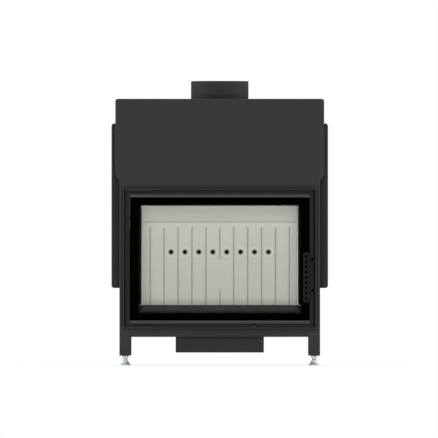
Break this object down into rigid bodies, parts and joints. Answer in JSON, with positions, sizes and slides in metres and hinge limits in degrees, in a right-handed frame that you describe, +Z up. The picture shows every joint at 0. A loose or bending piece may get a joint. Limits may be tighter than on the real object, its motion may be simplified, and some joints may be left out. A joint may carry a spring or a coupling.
{
  "type": "fireplace insert",
  "caption": "Dark steel wood-burning fireplace insert with a side-hinged glass door, perforated handle, fluted fireclay lining, convection hood, flue collar and levelling feet",
  "frame": {"origin": "on the floor, at the centre of the bounding box seen from above", "axes": "+X to the right seen from the front, +Y to the rear, +Z up; the door faces -Y"},
  "size_m": [0.75, 0.48, 0.986],
  "materials": {
    "black_paint": "matt heat-resistant paint",
    "dark_steel": "matt dark heat-resistant paint",
    "fireclay": "matt, fine-grained",
    "zinc_plate": "bright zinc plate",
    "ceramic_glass": "clear with a black printed border",
    "glass_fibre": "woven sealing rope and tape"
  },
  "bodies": {
    "carcass": {"front_frame": "black_paint", "rear_leg_left": "black_paint", "rear_leg_right": "black_paint", "front_rail": "black_paint", "rear_rail": "black_paint", "side_rail_left": "black_paint", "side_rail_right": "black_paint", "hood_front_plate": "black_paint", "hood_shell": "black_paint", "flue_collar": "black_paint", "smoke_gather": "dark_steel", "smoke_gather_rear": "dark_steel", "side_casing_left": "dark_steel", "side_casing_right": "dark_steel", "rear_shield": "dark_steel", "door_surround": "black_paint", "firebox_shell": "dark_steel", "floor_pan": "dark_steel", "hearth_slab": "fireclay", "side_lining_left": "fireclay", "side_lining_right": "fireclay", "back_lining": "fireclay", "rear_air_duct": "dark_steel", "deflector": "fireclay", "baffle_plate": "dark_steel", "retainer_left": "dark_steel", "retainer_right": "dark_steel", "log_guard": "dark_steel", "air_box": "black_paint", "air_collar": "black_paint", "slide_guide_left": "dark_steel", "slide_guide_right": "dark_steel", "hinge_plate_top": "black_paint", "hinge_plate_bottom": "black_paint", "keeper_top": "black_paint", "keeper_bottom": "black_paint", "lock_nut_front_left": "zinc_plate", "lock_nut_front_right": "zinc_plate", "lock_nut_rear_left": "zinc_plate", "lock_nut_rear_right": "zinc_plate"},
    "door": {"door_frame": "dark_steel", "door_glass": "ceramic_glass", "glass_gasket": "glass_fibre", "glass_strip_top": "black_paint", "glass_strip_bottom": "black_paint", "door_rope": "glass_fibre", "shaft_bearing_top": "dark_steel", "shaft_bearing_bottom": "dark_steel"},
    "handle": {"handle_grip": "dark_steel", "handle_arm_top": "dark_steel", "handle_arm_bottom": "dark_steel", "latch_shaft": "zinc_plate", "latch_cam_top": "zinc_plate", "latch_cam_bottom": "zinc_plate"},
    "air_control": {"air_slide": "black_paint"},
    "foot_front_left": {"levelling_foot_front_left": "zinc_plate"},
    "foot_front_right": {"levelling_foot_front_right": "zinc_plate"},
    "foot_rear_left": {"levelling_foot_rear_left": "zinc_plate"},
    "foot_rear_right": {"levelling_foot_rear_right": "zinc_plate"}
  },
  "joints": [
    {"name": "door_hinge", "type": "hinge", "parent": "carcass", "child": "door", "pos_m": [-0.322, -0.21, 0.37], "axis": [0, 0, -1], "range_deg": [0, 100]},
    {"name": "handle_turn", "type": "hinge", "parent": "door", "child": "handle", "pos_m": [0.315, -0.198, 0.36], "axis": [0, 0, 1], "range_deg": [0, 30]},
    {"name": "air_slide_pull", "type": "slide", "parent": "carcass", "child": "air_control", "axis": [0, -1, 0], "range_m": [0, 0.03]},
    {"name": "foot_front_left_screw", "type": "slide", "parent": "carcass", "child": "foot_front_left", "axis": [0, 0, -1], "range_m": [0, 0.03]},
    {"name": "foot_front_right_screw", "type": "slide", "parent": "carcass", "child": "foot_front_right", "axis": [0, 0, -1], "range_m": [0, 0.03]},
    {"name": "foot_rear_left_screw", "type": "slide", "parent": "carcass", "child": "foot_rear_left", "axis": [0, 0, -1], "range_m": [0, 0.03]},
    {"name": "foot_rear_right_screw", "type": "slide", "parent": "carcass", "child": "foot_rear_right", "axis": [0, 0, -1], "range_m": [0, 0.03]}
  ]
}
